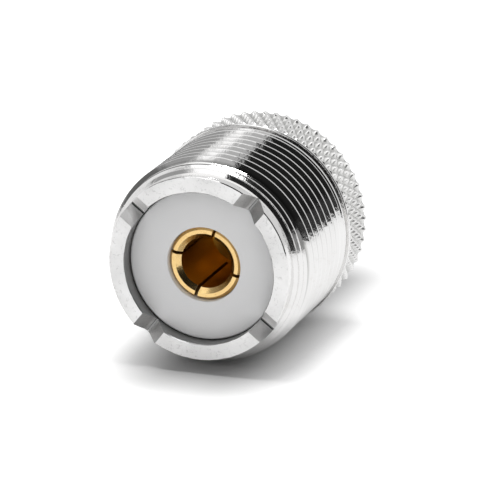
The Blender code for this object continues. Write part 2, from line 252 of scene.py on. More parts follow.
shell = turn("shell_dressed", [
    (RIM_BORE + EDGE, RIM_FACE),
    (NOSE_RADIUS - EDGE, RIM_FACE),
    (NOSE_RADIUS, RIM_FACE - EDGE),
    (NOSE_RADIUS, NOSE_BACK),
    (COLLAR_RADIUS, COLLAR_FRONT),
    (COLLAR_RADIUS, COLLAR_BACK),
    (FIRST_RADIUS - 0.05 * MM, FIRST_CREST + 0.15 * MM),
    (FIRST_RADIUS, FIRST_CREST + 0.13 * MM),
    (FIRST_RADIUS, FIRST_CREST),
    (THREAD_RADIUS, LEAD_IN_BACK),
    (THREAD_RADIUS, SHALLOW_PLACE + SHALLOW_HALF),
    (THREAD_RADIUS - SHALLOW_DEPTH, SHALLOW_PLACE),
    (THREAD_RADIUS, SHALLOW_PLACE - SHALLOW_HALF),
    (THREAD_RADIUS, RELIEF_FRONT),
    (THREAD_RADIUS - RELIEF_DEPTH, RELIEF_FRONT - RELIEF_DEPTH / 2),
    (THREAD_RADIUS - RELIEF_DEPTH, GRIP_FRONT - 1 * MM),
    (CORE_RADIUS, GRIP_FRONT - 1.4 * MM),
    (CORE_RADIUS, SHELL_BACK + HAIR),
    (POCKET_RADIUS + EDGE, SHELL_BACK + HAIR),
    (POCKET_RADIUS, SHELL_BACK + HAIR + EDGE),
    (POCKET_RADIUS, POCKET_TOP),
    (LINE_BORE, POCKET_TOP),
    (LINE_BORE, BORE_SHOULDER),
    (RIM_BORE, BORE_SHOULDER),
    (RIM_BORE, RECESS_FLOOR),
    (RIM_BORE, RIM_FACE - EDGE),
], SHELL_STEPS)
report(shell)

# %% [markdown]
# The groove between the turns is a section that is drawn once and swept along a helix by the
# Screw modifier. Its flanks lean 30 degrees, as a real thread's do, and flare a little at the top,
# which takes the sharpness off the crests. At its start, over run_out turns, the groove sinks into
# the metal, as it does where a threading tool is set in or pulled back.

# %% Cut a thread
def thread_cutter(name, steps, radius, depth, pitch, crest, low, high, start_angle, run_out):
    """The helical groove of an outer thread, which runs up from a low to a high place."""
    flank = depth * math.tan(math.radians(30))
    root_half = (pitch - crest) / 2 - flank
    ease = crest / 5
    root = radius - depth
    top = radius + ease
    section = [
        (root, low - root_half),
        (root, low + root_half),
        (radius - ease, low + root_half + flank - ease / 2),
        (radius, low + root_half + flank + ease / 2),
        (top, low + root_half + flank + ease),
        (top, low - root_half - flank - ease),
        (radius, low - root_half - flank - ease / 2),
        (radius - ease, low - root_half - flank + ease / 2),
    ]
    cutter = draw_outline(name, section)
    bpy.ops.object.mode_set(mode="OBJECT")
    sweep = cutter.modifiers.new("Sweep", "SCREW")
    sweep.axis = "Z"
    sweep.angle = math.tau
    sweep.steps = sweep.render_steps = steps
    sweep.screw_offset = pitch
    sweep.iterations = math.ceil((high - low) / pitch)
    sweep.use_merge_vertices = False
    bpy.ops.object.modifier_apply(modifier="Sweep")
    for point in cutter.data.vertices:
        turned = point.index // len(section) / steps
        move_out(point, max(1 - turned / run_out, 0) * (depth + 2 * ease))
    bpy.ops.object.mode_set(mode="EDIT")
    bpy.ops.mesh.select_all(action="SELECT")
    bpy.ops.mesh.fill_holes(sides=0)
    bpy.ops.mesh.normals_make_consistent(inside=False)
    bpy.ops.object.mode_set(mode="OBJECT")
    cutter.rotation_euler.z = start_angle
    bpy.ops.object.transform_apply(location=True, rotation=True, scale=True)
    return cutter


groove = thread_cutter(
    "large_groove", SHELL_STEPS, THREAD_RADIUS,
    depth=0.58 * MM, pitch=THREAD_PITCH, crest=0.19 * MM,
    low=GRIP_FRONT + 0.45 * MM + THREAD_PITCH / 2, high=COLLAR_FRONT + 0.5 * MM,
    start_angle=math.radians(82), run_out=0.5,
)
report(groove)
carve(shell, groove)
report(shell)

# %% [markdown]
# The grip ring carries a diamond knurl: two crossed sets of grooves that leave rows of small
# pyramids. It could be cut with 114 helical cutters, but it is far lighter to spin the ring with
# two columns for each diamond, push every other point in and out like a chessboard, and fold the
# faces along the low points. The plating has rounded the diamonds, and so does a Subdivision
# Surface. The edges that have to stay crisp are creased first, such as the plain lip in front.

# %% Knurl the grip ring
DIAMONDS = 57
ROW = 0.75 * MM
EDGE_GRIP = 0.05 * MM
LIP = 0.24 * MM
BEVEL = 0.25 * MM
PEAK_RADIUS = 8.2 * MM
PUSH_OUT = 0.54 * MM
PUSH_IN = 0.5 * MM
KNURL_ANGLE = math.radians(2.6)
KNURL_FRONT = GRIP_FRONT - LIP - 0.12 * MM
ROW_COUNT = int((KNURL_FRONT - SHELL_BACK - BEVEL) / ROW) + 1
ROWS = [KNURL_FRONT - ROW * k for k in range(ROW_COUNT)]

ring = turn("grip_ring", [
    (RING_INNER, GRIP_FRONT),
    (GRIP_RADIUS - EDGE_GRIP, GRIP_FRONT),
    (GRIP_RADIUS, GRIP_FRONT - EDGE_GRIP),
    (GRIP_RADIUS, GRIP_FRONT - LIP),
    *[(GRIP_RADIUS, height) for height in ROWS],
    (GRIP_RADIUS - BEVEL, SHELL_BACK),
    (RING_INNER, SHELL_BACK),
], 2 * DIAMONDS)


def chessboard(colour):
    """A test for the knurl's high (0) or low (1) points."""
    def wanted(co):
        row = round((KNURL_FRONT - co.z) / ROW)
        on_row = 0 <= row < ROW_COUNT and abs(co.z - ROWS[row]) < NEAR
        column = round(math.atan2(co.y, co.x) / math.tau * 2 * DIAMONDS)
        return on_row and from_axis(co) > GRIP_RADIUS - NEAR and (column + row) % 2 == colour
    return wanted


is_high, is_low = chessboard(0), chessboard(1)
pick(ring)
bpy.ops.object.mode_set(mode="EDIT")
bpy.ops.mesh.select_mode(type="VERT")
select_points(ring, lambda co: not (is_high(co) or is_low(co)))
bpy.ops.transform.edge_crease(value=1.0)
select_points(ring, is_low)
bpy.ops.mesh.vert_connect()
for wanted, push in ((is_low, -PUSH_IN), (is_high, PUSH_OUT)):
    select_points(ring, wanted)
    factor = 1 + push / GRIP_RADIUS
    bpy.ops.transform.resize(value=(factor, factor, 1), center_override=(0, 0, 0))
bpy.ops.object.mode_set(mode="OBJECT")
rounding = ring.modifiers.new("Rounding", "SUBSURF")
rounding.levels = rounding.render_levels = 2
bpy.ops.object.modifier_apply(modifier="Rounding")
ring.rotation_euler.z = KNURL_ANGLE
bpy.ops.object.transform_apply(location=True, rotation=True, scale=True)
tidy_mesh(ring)
report(ring)
knurled = [from_axis(point.co) / MM for point in ring.data.vertices
           if SHELL_BACK + ROW < point.co.z < KNURL_FRONT and from_axis(point.co) > CORE_RADIUS]
print("knurl from", round(min(knurled), 3), "to", round(max(knurled), 3), "mm from the axis")
carve(shell, ring, "UNION")

# %% [markdown]
# Four V-shaped notches cross the rim, a quarter turn apart. A plug's teeth sit in them so that the
# two halves can't turn against each other. One long cutter makes two notches that face each other.
# Its section is a V with a blunt foot: the real tool has left a fine slot and two thin lips there.

# %% Mill the notches
NOTCH_HALF = 1.075 * MM
NOTCH_DEPTH = 1.1 * MM
SLOT_HALF = 0.07 * MM
OVERRUN = 0.5 * MM
NOTCH_TOP = NOTCH_HALF * (1 + OVERRUN / NOTCH_DEPTH)
NOTCH_SECTION = [
    (-NOTCH_TOP, OVERRUN),
    (-0.2 * MM, -0.9 * MM),
    (-0.1 * MM, -0.94 * MM),
    (-SLOT_HALF, -NOTCH_DEPTH),
    (SLOT_HALF, -NOTCH_DEPTH),
    (0.1 * MM, -0.94 * MM),
    (0.27 * MM, -0.86 * MM),
    (NOTCH_TOP, OVERRUN),
]


def milling_bar(name, section, length, angle):
    """A long bar across the axis with a drawn section of (place, height above the rim) points."""
    piece = draw_outline(name, [(place, RIM_FACE + height) for place, height in section])
    bpy.ops.mesh.select_all(action="SELECT")
    bpy.ops.transform.translate(value=(0, -length / 2, 0))
    bpy.ops.mesh.extrude_region_move(TRANSFORM_OT_translate={"value": (0, length, 0)})
    bpy.ops.mesh.select_all(action="SELECT")
    bpy.ops.mesh.fill_holes(sides=0)
    tidy_mesh(piece)
    piece.rotation_euler.z = angle
    bpy.ops.object.transform_apply(location=True, rotation=True, scale=True)
    return piece


for quarter in range(2):
    cutter = milling_bar("notch", NOTCH_SECTION, 2 * (NOSE_RADIUS + OVERRUN), quarter * math.pi / 2)
    carve(shell, cutter)
report(shell)

# %% [markdown]
# The cutters have torn the soft plated brass a little where the rim face ends. The points of its
# two edge rings are pushed by small chance amounts, so the edges are slightly ragged. A boolean can
# number its points a little differently from run to run, so the amounts are dealt out in a fixed
# order: clockwise and from the inside out, with the corners of the notches last.

# %% Roughen the rim's edges
INNER_TEAR = (0, 0.03)
OUTER_TEAR = (-0.012, 0.016)
RIM_EDGE = 1.2 * EDGE


def is_inner(point):
    """Whether a point of the rim face is on its inner edge."""
    return from_axis(point.co) < RIM_BORE + RIM_EDGE


def turn_taken(point):
    """The place of a point in the fixed order."""
    x, y = point.co.x, point.co.y
    clockwise = -math.atan2(y, x) % math.tau
    if min(abs(x), abs(y)) > NOTCH_HALF + HAIR:
        return 0, 0, round(clockwise / math.tau * SHELL_STEPS), from_axis(point.co)
    return 1, abs(y) < abs(x), clockwise // (math.pi / 2), from_axis(point.co)


chance = random.Random(7)
torn = [
    point for point in shell.data.vertices if point.co.z > RIM_FACE - NEAR
    and (is_inner(point) or from_axis(point.co) > NOSE_RADIUS - RIM_EDGE)
]
for point in sorted(torn, key=turn_taken):
    move_out(point, -chance.uniform(*(INNER_TEAR if is_inner(point) else OUTER_TEAR)) * MM)
print("points moved on the rim's edges:", len(torn))
tidy_mesh(shell)
smooth(shell)
report(shell)

# %% [markdown]
# ## The bushes and contacts
#
# The white front bush fills the bore and stands 1.2 mm below the rim. Its edges are eased by hand
# with a small round, so that light rolls over them.

# %% Turn the front bush
BUSH_STEPS = 96
SOCKET_OUTER = 2.835 * MM
PIN_RADIUS = 0.635 * MM
BUSH_FLOOR = BUSH_BACK + 0.9 * MM


def round_corner(radius, height, size, corner, points=5):
    """Points of a quarter round from a flat face over its outer (1) or inner (-1) edge."""
    turns = [math.pi / 2 * k / (points - 1) for k in range(points)]
    return [
        (radius - corner * size * (1 - math.sin(t)), height - size * (1 - math.cos(t)))
        for t in turns
    ]


front_bush = turn("front_bush", [
    *round_corner(RIM_BORE - FIT, BUSH_FACE, 0.15 * MM, 1),
    (RIM_BORE - FIT, BUSH_BACK),
    (PIN_RADIUS + FIT, BUSH_BACK),
    (PIN_RADIUS + FIT, BUSH_FLOOR),
    (SOCKET_OUTER + FIT, BUSH_FLOOR),
    *reversed(round_corner(SOCKET_OUTER + FIT, BUSH_FACE, 0.075 * MM, -1)),
], BUSH_STEPS)
smooth(front_bush)
report(front_bush)

# %% [markdown]
# The socket is a gold-plated tube whose mouth opens in a 45 degree lead-in. Two thin saw cuts
# across it make four springy fingers.

# %% Turn and saw the front socket
SOCKET_BORE = 1.975 * MM
SOCKET_LEAD = 0.35 * MM
SOCKET_BOTTOM = SOCKET_BACK + 1.51 * MM
SLOT_BOTTOM = SOCKET_BOTTOM + 0.6 * MM
SLOT_ANGLE = math.radians(22)
PIN_POCKET = SOCKET_BACK + 1.04 * MM


def saw_cross(piece, length, width, low, high):
    """Saw a piece twice across the axis, a quarter turn apart."""
    for quarter in range(2):
        carve(piece, bar("slot", length, width, low, high, SLOT_ANGLE + quarter * math.pi / 2))
    tidy_mesh(piece)


front_socket = turn("front_socket", [
    (SOCKET_BORE + SOCKET_LEAD, SOCKET_FACE),
    (SOCKET_OUTER - 0.22 * MM, SOCKET_FACE),
    (SOCKET_OUTER, SOCKET_FACE - 0.3 * MM),
    (SOCKET_OUTER, SOCKET_BACK),
    (PIN_RADIUS + FIT, SOCKET_BACK),
    (PIN_RADIUS + FIT, PIN_POCKET),
    (0, PIN_POCKET),
    (0, SOCKET_BOTTOM - 0.2 * MM),
    (SOCKET_BORE, SOCKET_BOTTOM),
    (SOCKET_BORE, SOCKET_FACE - SOCKET_LEAD),
], BUSH_STEPS)
saw_cross(front_socket, length=7 * MM, width=0.25 * MM, low=SLOT_BOTTOM, high=SOCKET_FACE + OVERRUN)
smooth(front_socket)
report(front_socket)

# %% [markdown]
# ## The small jack at the back
#
# The adapter's other end is hidden in the photograph. It is modelled as the usual small jack with
# a fine thread of 36 turns to the inch, a thin bush and a thin split pin.

# %% Turn and thread the rear jack
JACK_STEPS = BUSH_STEPS
FLANGE_TOP = SHELL_BACK - FIT
FLANGE_BACK = FLANGE_TOP - 1.0 * MM
FLANGE_RADIUS = 4.3 * MM
STEM_RADIUS = 3.6 * MM
NECK_RADIUS = 2.7 * MM
JACK_RADIUS = 3.175 * MM
JACK_PITCH = 25.4 / 36 * MM
JACK_BORE = 2.3 * MM
MOUTH = 1.9 * MM

rear_barrel = turn("rear_barrel", [
    (LINE_BORE, STEM_TOP),
    (STEM_RADIUS - 0.2 * MM, STEM_TOP),
    (STEM_RADIUS, STEM_TOP - 0.2 * MM),
    (STEM_RADIUS, FLANGE_TOP),
    (FLANGE_RADIUS - 0.15 * MM, FLANGE_TOP),
    (FLANGE_RADIUS, FLANGE_TOP - 0.15 * MM),
    (FLANGE_RADIUS, FLANGE_BACK + 0.1 * MM),
    (FLANGE_RADIUS - 0.1 * MM, FLANGE_BACK),
    (NECK_RADIUS, FLANGE_BACK),
    (NECK_RADIUS, FLANGE_BACK - 0.7 * MM),
    (JACK_RADIUS, FLANGE_BACK - 1.175 * MM),
    (JACK_RADIUS, 0.25 * MM),
    (JACK_RADIUS - 0.25 * MM, 0),
    (JACK_BORE + 0.1 * MM, 0),
    (JACK_BORE, 0.1 * MM),
    (JACK_BORE, MOUTH),
    (LINE_BORE, MOUTH),
], JACK_STEPS)
fine_groove = thread_cutter(
    "fine_groove", JACK_STEPS, JACK_RADIUS,
    depth=0.4 * MM, pitch=JACK_PITCH, crest=0.1 * MM,
    low=-0.5 * MM, high=FLANGE_BACK - 0.8 * MM,
    start_angle=math.radians(5), run_out=0.1,
)
carve(rear_barrel, fine_groove)
tidy_mesh(rear_barrel)
smooth(rear_barrel)
report(rear_barrel)

# %% [markdown]
# The rear bush and pin close the small jack. The pin's foot is a tiny socket with four slots.

# %% Turn the rear bush and pin
PIN_STEPS = 48
PIN_BORE = 0.46 * MM
BUSH_RADIUS = LINE_BORE - FIT

rear_bush = turn("rear_bush", [
    (PIN_RADIUS + FIT, MOUTH),
    (BUSH_RADIUS - 0.15 * MM, MOUTH),
    (BUSH_RADIUS - 0.04 * MM, MOUTH + 0.04 * MM),
    (BUSH_RADIUS, MOUTH + 0.15 * MM),
    (BUSH_RADIUS, BORE_SHOULDER),
    (PIN_RADIUS + FIT, BORE_SHOULDER),
], BUSH_STEPS)
smooth(rear_bush)
report(rear_bush)

rear_pin = turn("rear_pin", [
    (0, PIN_TOP),
    (PIN_RADIUS - 0.08 * MM, PIN_TOP),
    (PIN_RADIUS, PIN_TOP - 0.08 * MM),
    (PIN_RADIUS, MOUTH + 0.08 * MM),
    (PIN_RADIUS - 0.05 * MM, MOUTH + 0.02 * MM),
    (PIN_RADIUS - 0.08 * MM, MOUTH),
    (PIN_BORE + 0.04 * MM, MOUTH),
    (PIN_BORE, MOUTH + 0.06 * MM),
    (PIN_BORE, MOUTH + 3 * MM),
    (0, MOUTH + 3.3 * MM),
], PIN_STEPS)
saw_cross(rear_pin, length=2 * MM, width=0.15 * MM, low=MOUTH - OVERRUN, high=MOUTH + 2.4 * MM)
smooth(rear_pin)
report(rear_pin)

# %% [markdown]
# ## Helpers for materials
#
# Every finish is made of nodes. The first helper adds any node and fills its sockets. The others
# use it to say in one word what comes back again and again: a sum, a ramp, a blend of two colours.

# %% Node helpers
def add_node(tree, kind, sockets=None, **settings):
    """Add a node. A socket's value may be a number, a colour or another node's output."""
    node = tree.nodes.new(kind)
    for name, value in settings.items():
        setattr(node, name, value)
    for key, value in (sockets or {}).items():
        if isinstance(value, bpy.types.NodeSocket):
            tree.links.new(value, node.inputs[key])
        else:
            node.inputs[key].default_value = value
    return node


def calc(tree, operation, *values):
    """A math node's result."""
    return add_node(tree, "ShaderNodeMath", dict(enumerate(values)), operation=operation).outputs[0]


def length_of(tree, x, y):
    """The length of two numbers that stand at a right angle."""
    squares = [calc(tree, "MULTIPLY", value, value) for value in (x, y)]
    return calc(tree, "SQRT", calc(tree, "ADD", *squares))


def ramp(tree, value, start, stop, first=0.0, last=1.0, shape="LINEAR"):
    """A number that runs from first to last while a value runs from start to stop."""
    return add_node(tree, "ShaderNodeMapRange", {
        "Value": value, "From Min": start, "From Max": stop, "To Min": first, "To Max": last,
    }, interpolation_type=shape).outputs[0]


def blend(tree, mask, first, second):
    """One colour where a mask is 0 and another where it is 1."""
    first, second = [
        colour if isinstance(colour, bpy.types.NodeSocket) else (*colour, 1) for colour in (first, second)
    ]
    return add_node(tree, "ShaderNodeMix", {0: mask, 6: first, 7: second}, data_type="RGBA").outputs[2]


def object_place(tree):
    """A place in the piece's own coordinates, in metres."""
    return add_node(tree, "ShaderNodeTexCoord").outputs["Object"]


def split(tree, vector):
    """The three numbers of a vector."""
    return add_node(tree, "ShaderNodeSeparateXYZ", {0: vector}).outputs


# %% [markdown]
# What more than one finish uses is a node group with named inputs and outputs. Each finish places
# it with its own values.

# %% Group helper
def new_group(name, inputs, outputs):
    """An empty shader node group with named inputs (with their values) and outputs."""
    group = bpy.data.node_groups.new(name, "ShaderNodeTree")
    for label, value in inputs.items():
        socket = group.interface.new_socket(label, in_out="INPUT", socket_type="NodeSocketFloat")
        socket.default_value = value
    for label in outputs:
        group.interface.new_socket(label, in_out="OUTPUT", socket_type="NodeSocketFloat")
    return group, group.nodes.new("NodeGroupInput").outputs, group.nodes.new("NodeGroupOutput").inputs


# %% [markdown]
# Turned metal shows fine rings where the tool has passed. The pattern is noise that is stretched
# around the axis: its coordinates are the direction from the axis, which changes slowly, and the
# place along the outline, which changes fast. It works on sides, cones and flat faces alike.

# %% Group: turning marks
SLANT = 0.61
CLOUD_SCALE = 420.0

marks, values, results = new_group(
    "turning marks", {"Marks per mm": 12.0, "Length": 1.5}, ["Height", "Slow"]
)
place = object_place(marks)
x, y, z = split(marks, place)
away = length_of(marks, x, y)
along = calc(marks, "ADD", z, calc(marks, "MULTIPLY", away, SLANT))
fast = calc(marks, "MULTIPLY", calc(marks, "DIVIDE", along, MM), values["Marks per mm"])
slow_x, slow_y = [
    calc(marks, "MULTIPLY", calc(marks, "DIVIDE", value, away), values["Length"]) for value in (x, y)
]
rings = add_node(marks, "ShaderNodeCombineXYZ", {0: slow_x, 1: slow_y, 2: fast}).outputs[0]
ring_noise = add_node(marks, "ShaderNodeTexNoise", {"Vector": rings, "Scale": 1.0, "Detail": 2.0})
marks.links.new(ring_noise.outputs[0], results["Height"])
cloud = add_node(marks, "ShaderNodeTexNoise", {"Vector": place, "Scale": CLOUD_SCALE, "Detail": 3.0})
marks.links.new(cloud.outputs[0], results["Slow"])
print("group", marks.name, "puts out", [socket.name for socket in results if socket.name])

# %% [markdown]
# Plating keeps the grain of the metal under it. Where a face is cut and not polished, it is full
# of tiny pits and specks. The group gives a fine grain and a mask of ragged pits and stains.

# %% Group: plating grain
PIT_CONTRAST = 5

grain, values, results = new_group(
    "plating grain", {"Grain per mm": 6.0, "Pit level": 0.55}, ["Grain", "Pits"]
)
place = object_place(grain)
fine_scale = calc(grain, "DIVIDE", values["Grain per mm"], MM)
fine = add_node(grain, "ShaderNodeTexNoise", {"Vector": place, "Scale": fine_scale, "Detail": 4.0})
grain.links.new(fine.outputs[0], results["Grain"])
stains = add_node(grain, "ShaderNodeTexNoise", {
    "Vector": place, "Scale": fine_scale, "Detail": 6.0, "Roughness": 0.75, "Distortion": 0.6,
})
deep = calc(grain, "MAXIMUM", calc(grain, "SUBTRACT", stains.outputs[0], values["Pit level"]), 0)
grain.links.new(calc(grain, "MULTIPLY", deep, PIT_CONTRAST), results["Pits"])
print("group", grain.name, "puts out", [socket.name for socket in results if socket.name])

# %% [markdown]
# ## The finishes
#
# Bright plate is a metal shader with a pale or a golden colour. One builder makes every plated
# finish from its own roughness, marks and grain. What stays the same all over sits on the
# shader itself, and only what changes over the surface comes through nodes.

# %% Builders for the finishes
SLOW_LOW, SLOW_HIGH = 0.3, 0.7
SLOW_TINT = 0.6


def new_finish(name):
    """A new material with its node tree and its shader."""
    finish = bpy.data.materials.new(name)
    finish.use_nodes = True
    return finish, finish.node_tree, finish.node_tree.nodes["Principled BSDF"]


def add_relief(tree, shader, height):
    """Let a height in metres tilt the light on a shader."""
    relief = add_node(tree, "ShaderNodeBump", {"Height": height, "Distance": 1.0, "Strength": 1.0})
    tree.links.new(relief.outputs[0], shader.inputs["Normal"])


def plated(name, pale, dull, rough_low, rough_high, marks_per_mm, mark_height, grain_per_mm, grain_height):
    """A plated metal between two colours, with turning marks and grain of given heights in mm."""
    finish, tree, shader = new_finish(name)
    shader.inputs["Metallic"].default_value = 1.0
    turning = add_node(tree, "ShaderNodeGroup", {"Marks per mm": marks_per_mm}, node_tree=marks)
    specks = add_node(tree, "ShaderNodeGroup", {"Grain per mm": grain_per_mm}, node_tree=grain)
    slow = turning.outputs["Slow"]
    shade = calc(tree, "ADD", calc(tree, "MULTIPLY", slow, SLOW_TINT), specks.outputs["Pits"])
    tree.links.new(blend(tree, shade, pale, dull), shader.inputs["Base Color"])
    rough = ramp(tree, slow, SLOW_LOW, SLOW_HIGH, rough_low, rough_high)
    tree.links.new(rough, shader.inputs["Roughness"])
    ridges = calc(tree, "MULTIPLY", turning.outputs["Height"], mark_height * MM)
    bumps = calc(tree, "MULTIPLY", specks.outputs["Grain"], grain_height * MM)
    add_relief(tree, shader, calc(tree, "ADD", ridges, bumps))
    return finish


def add_dirt_and_painted_shade(finish, colour, inner, outer, top):
    """Darken the grooves below a height, partly as dirt and partly as painted shade: fully at the inner
    radius, not at all at the outer one.
    """
    tree = finish.node_tree
    base = tree.nodes["Principled BSDF"].inputs["Base Color"]
    undarkened = base.links[0].from_socket
    x, y, z = split(tree, object_place(tree))
    deep = ramp(tree, length_of(tree, x, y), inner, outer, 1.0, 0.0)
    mask = calc(tree, "MULTIPLY", deep, calc(tree, "LESS_THAN", z, top))
    tree.links.new(blend(tree, mask, undarkened, colour), base)


# %% [markdown]
# Each row below is one plated finish: its two colours, its roughness from and to, the turning marks per mm
# and their height in mm, and the grain per mm and its height in mm. The grooves of the thread and the
# knurl are darkened towards their roots: partly dirt, since no cloth has reached them, and partly painted
# shade.

# %% Build the plated finishes
PALE_NICKEL = (0.84, 0.838, 0.835)
DULL_NICKEL = (0.76, 0.75, 0.74)
PITTED_NICKEL = (0.58, 0.575, 0.57)
PLATINGS = {
    "thread nickel": (PALE_NICKEL, DULL_NICKEL, 0.05, 0.11, 14, 0.002, 1.6, 0.018),
    "rim nickel": ((0.95, 0.948, 0.945), PITTED_NICKEL, 0.3, 0.4, 6, 0.001, 3.6, 0.014),
    "milled nickel": ((0.94, 0.938, 0.935), (0.66, 0.65, 0.64), 0.45, 0.55, 6, 0.001, 9, 0.006),
    "torn nickel": ((0.56, 0.555, 0.55), (0.3, 0.295, 0.29), 0.4, 0.5, 6, 0.002, 5, 0.012),
    "knurled nickel": (PALE_NICKEL, (0.72, 0.71, 0.7), 0.14, 0.2, 6, 0.001, 7, 0.004),
    # Painted shade: this dark nickel stands for the shade in the recess inside the rim and in the notches'
    # slots.
    "painted shade recess nickel": ((0.34, 0.34, 0.337), (0.27, 0.27, 0.267), 0.3, 0.4, 8, 0.003, 7, 0.004),
    "bore nickel": (PALE_NICKEL, DULL_NICKEL, 0.2, 0.3, 16, 0.004, 5, 0.002),
    "jack nickel": (PALE_NICKEL, DULL_NICKEL, 0.1, 0.2, 14, 0.002, 5, 0.002),
    "gold plate": ((0.97, 0.72, 0.33), (0.68, 0.38, 0.13), 0.18, 0.28, 12, 0.003, 4.5, 0.01),
    # Painted shade: this darker, browner gold stands for the shade inside the socket's bore.
    "painted shade gold bore": ((0.68, 0.42, 0.08), (0.56, 0.32, 0.055), 0.3, 0.4, 12, 0.003, 8, 0.004),
}
finishes = {name: plated(name, *settings) for name, settings in PLATINGS.items()}
# Painted shade and dirt: the thread's roots and the knurl's valleys get a darker colour.
add_dirt_and_painted_shade(
    finishes["thread nickel"], (0.36, 0.36, 0.35),
    inner=THREAD_RADIUS - 0.42 * MM, outer=THREAD_RADIUS - 0.2 * MM, top=LEAD_IN_BACK,
)
add_dirt_and_painted_shade(
    finishes["knurled nickel"], (0.58, 0.58, 0.57),
    inner=GRIP_RADIUS - 0.28 * MM, outer=GRIP_RADIUS - 0.1 * MM, top=KNURL_FRONT,
)
print("plated finishes:", ", ".join(finishes))

# %% [markdown]
# The white bushes are satin plastic. It is soft and slightly mottled, with the faint rings of the
# tool that faced it.

# %% Build the white plastic
PALE_PLASTIC = (0.9, 0.9, 0.905)
DULL_PLASTIC = (0.86, 0.86, 0.86)

finish, tree, shader = new_finish("satin white plastic")
finishes[finish.name] = finish
shader.inputs["IOR"].default_value = 1.38
turning = add_node(tree, "ShaderNodeGroup", {"Marks per mm": 7.0}, node_tree=marks)
tint = blend(tree, turning.outputs["Slow"], PALE_PLASTIC, DULL_PLASTIC)
tree.links.new(tint, shader.inputs["Base Color"])
sheen = ramp(tree, turning.outputs["Height"], 0.0, 1.0, 0.42, 0.56)
tree.links.new(sheen, shader.inputs["Roughness"])
add_relief(tree, shader, calc(tree, "MULTIPLY", turning.outputs["Height"], 0.002 * MM))
print("finishes in all:", len(finishes))

# %% [markdown]
# ## Finishes on their faces
#
# The shell is one piece of metal, but its faces were cut in different ways. The rim face is grainy, the
# notches are milled or torn, the knurl is pressed and the thread is bright. The recess inside the rim and
# the fine slots at the notches' feet get a dark nickel, which is painted shade. The faces are sorted by
# where they lie and which way they look. The inside of the gold socket gets a darker, browner gold in the
# same way, which is also painted shade.

# %% Paint the shell and the socket
SLOT_WALL = 0.12 * MM
KNURL_ROOT = GRIP_RADIUS - 0.6 * MM


def outward(face):
    """How far a face looks away from the axis: 1 is straight out, -1 straight in."""
    centre, normal = face.center, face.normal
    return (centre.x * normal.x + centre.y * normal.y) / max(from_axis(centre), EDGE)


def shell_finish(face):
    """The name of the finish that a face of the shell gets."""
    centre, away, facing = face.center, from_axis(face.center), outward(face)
    if centre.z > RIM_FACE - 2 * EDGE and face.normal.z > 0.9:
        return "rim nickel"
    if centre.z > NOSE_BACK - EDGE and away < NOSE_RADIUS and abs(facing) < 0.4:
        # Painted shade: the fine slot at a notch's foot gets the dark recess nickel.
        if min(abs(centre.x), abs(centre.y)) < SLOT_WALL:
            return "painted shade recess nickel"
        return "torn nickel" if abs(centre.x) < abs(centre.y) else "milled nickel"
    if centre.z < GRIP_FRONT and away > KNURL_ROOT:
        return "knurled nickel"
    # Painted shade: the wall of the recess inside the rim gets the dark recess nickel.
    if facing < -0.5 and centre.z > RECESS_FLOOR:
        return "painted shade recess nickel"
    return "bore nickel" if facing < -0.5 or centre.z < GRIP_FRONT else "thread nickel"


def socket_finish(face):
    """The name of the finish that a face of the front socket gets."""
    inside = abs(face.normal.z) < 0.3 and outward(face) < 0.5
    # Painted shade: the inside of the bore gets the darker, browner gold.
    return "painted shade gold bore" if inside or face.center.z < SLOT_BOTTOM else "gold plate"


def paint(piece, choose, names):
    """Give each face of a piece the finish that a function chooses."""
    piece.data.materials.clear()
    for name in names:
        piece.data.materials.append(finishes[name])
    counts = dict.fromkeys(names, 0)
    for face in piece.data.polygons:
        name = choose(face)
        face.material_index = names.index(name)
        counts[name] += 1
    print(piece.name, "faces of each finish:", counts)


paint(shell, shell_finish, [
    "thread nickel", "rim nickel", "milled nickel", "knurled nickel", "bore nickel", "painted shade recess nickel",
    "torn nickel",
])
paint(front_socket, socket_finish, ["gold plate", "painted shade gold bore"])

# %% [markdown]
# The other pieces have one finish each. Every piece rides on the frame's only body, and the node that it
# stands for is hidden.

# %% Seat every piece on the frame
PIECES = [
    (shell, "shell", "nickel", None),
    (front_bush, "front_insulator", "insulator", "satin white plastic"),
    (front_socket, "front_contact", "gold", None),
    (rear_barrel, "rear_jack", "nickel", "jack nickel"),
    (rear_bush, "rear_insulator", "insulator", "satin white plastic"),
    (rear_pin, "rear_contact", "gold", "gold plate"),
]
for piece, node, slot, finish_name in PIECES:
    if finish_name:
        piece.data.materials.clear()
        piece.data.materials.append(finishes[finish_name])
    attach(piece, "root")
    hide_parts(node)
print("pieces:", [piece.name for piece, *_ in PIECES])

# %% [markdown]
# ## The table
#
# In the photograph the adapter lies on its side on a white table. The frame stands the part on
# its end, so here the table is an upright sheet that touches the side of the grip ring. It is
# white from the part's side only: from behind it can't be seen, so the part shows from all round.
# Close to the part the sheet is painted a darker grey, which is a painted shadow. Further out it glows
# softly, as the overexposed ground of the photograph does, to the camera and in the metal's reflections.
# The glow is nil at the part and grows outwards, so it also paints the outer edge of that shadow.

# %% Stand the table beside the part
TABLE_ANGLE = math.radians(128.14)
CONTACT_HALF = 1.5 * MM
PAINTED_SHADOW_REACH = 9 * MM
PAINTED_SHADOW_GREY = (0.5, 0.5, 0.5)
FAR_WHITE = (0.8, 0.8, 0.8)
GLOW_SEEN = 0.6
GLOW_MIRRORED = 0.22

clear_selection()
bpy.ops.mesh.primitive_plane_add(size=2)
table = bpy.context.object
table.name = "table"
toward = Vector((-math.cos(TABLE_ANGLE), -math.sin(TABLE_ANGLE), 0))
table.rotation_mode = "QUATERNION"
table.rotation_quaternion = toward.to_track_quat("Z", "Y")
table.location = -toward * PEAK_RADIUS

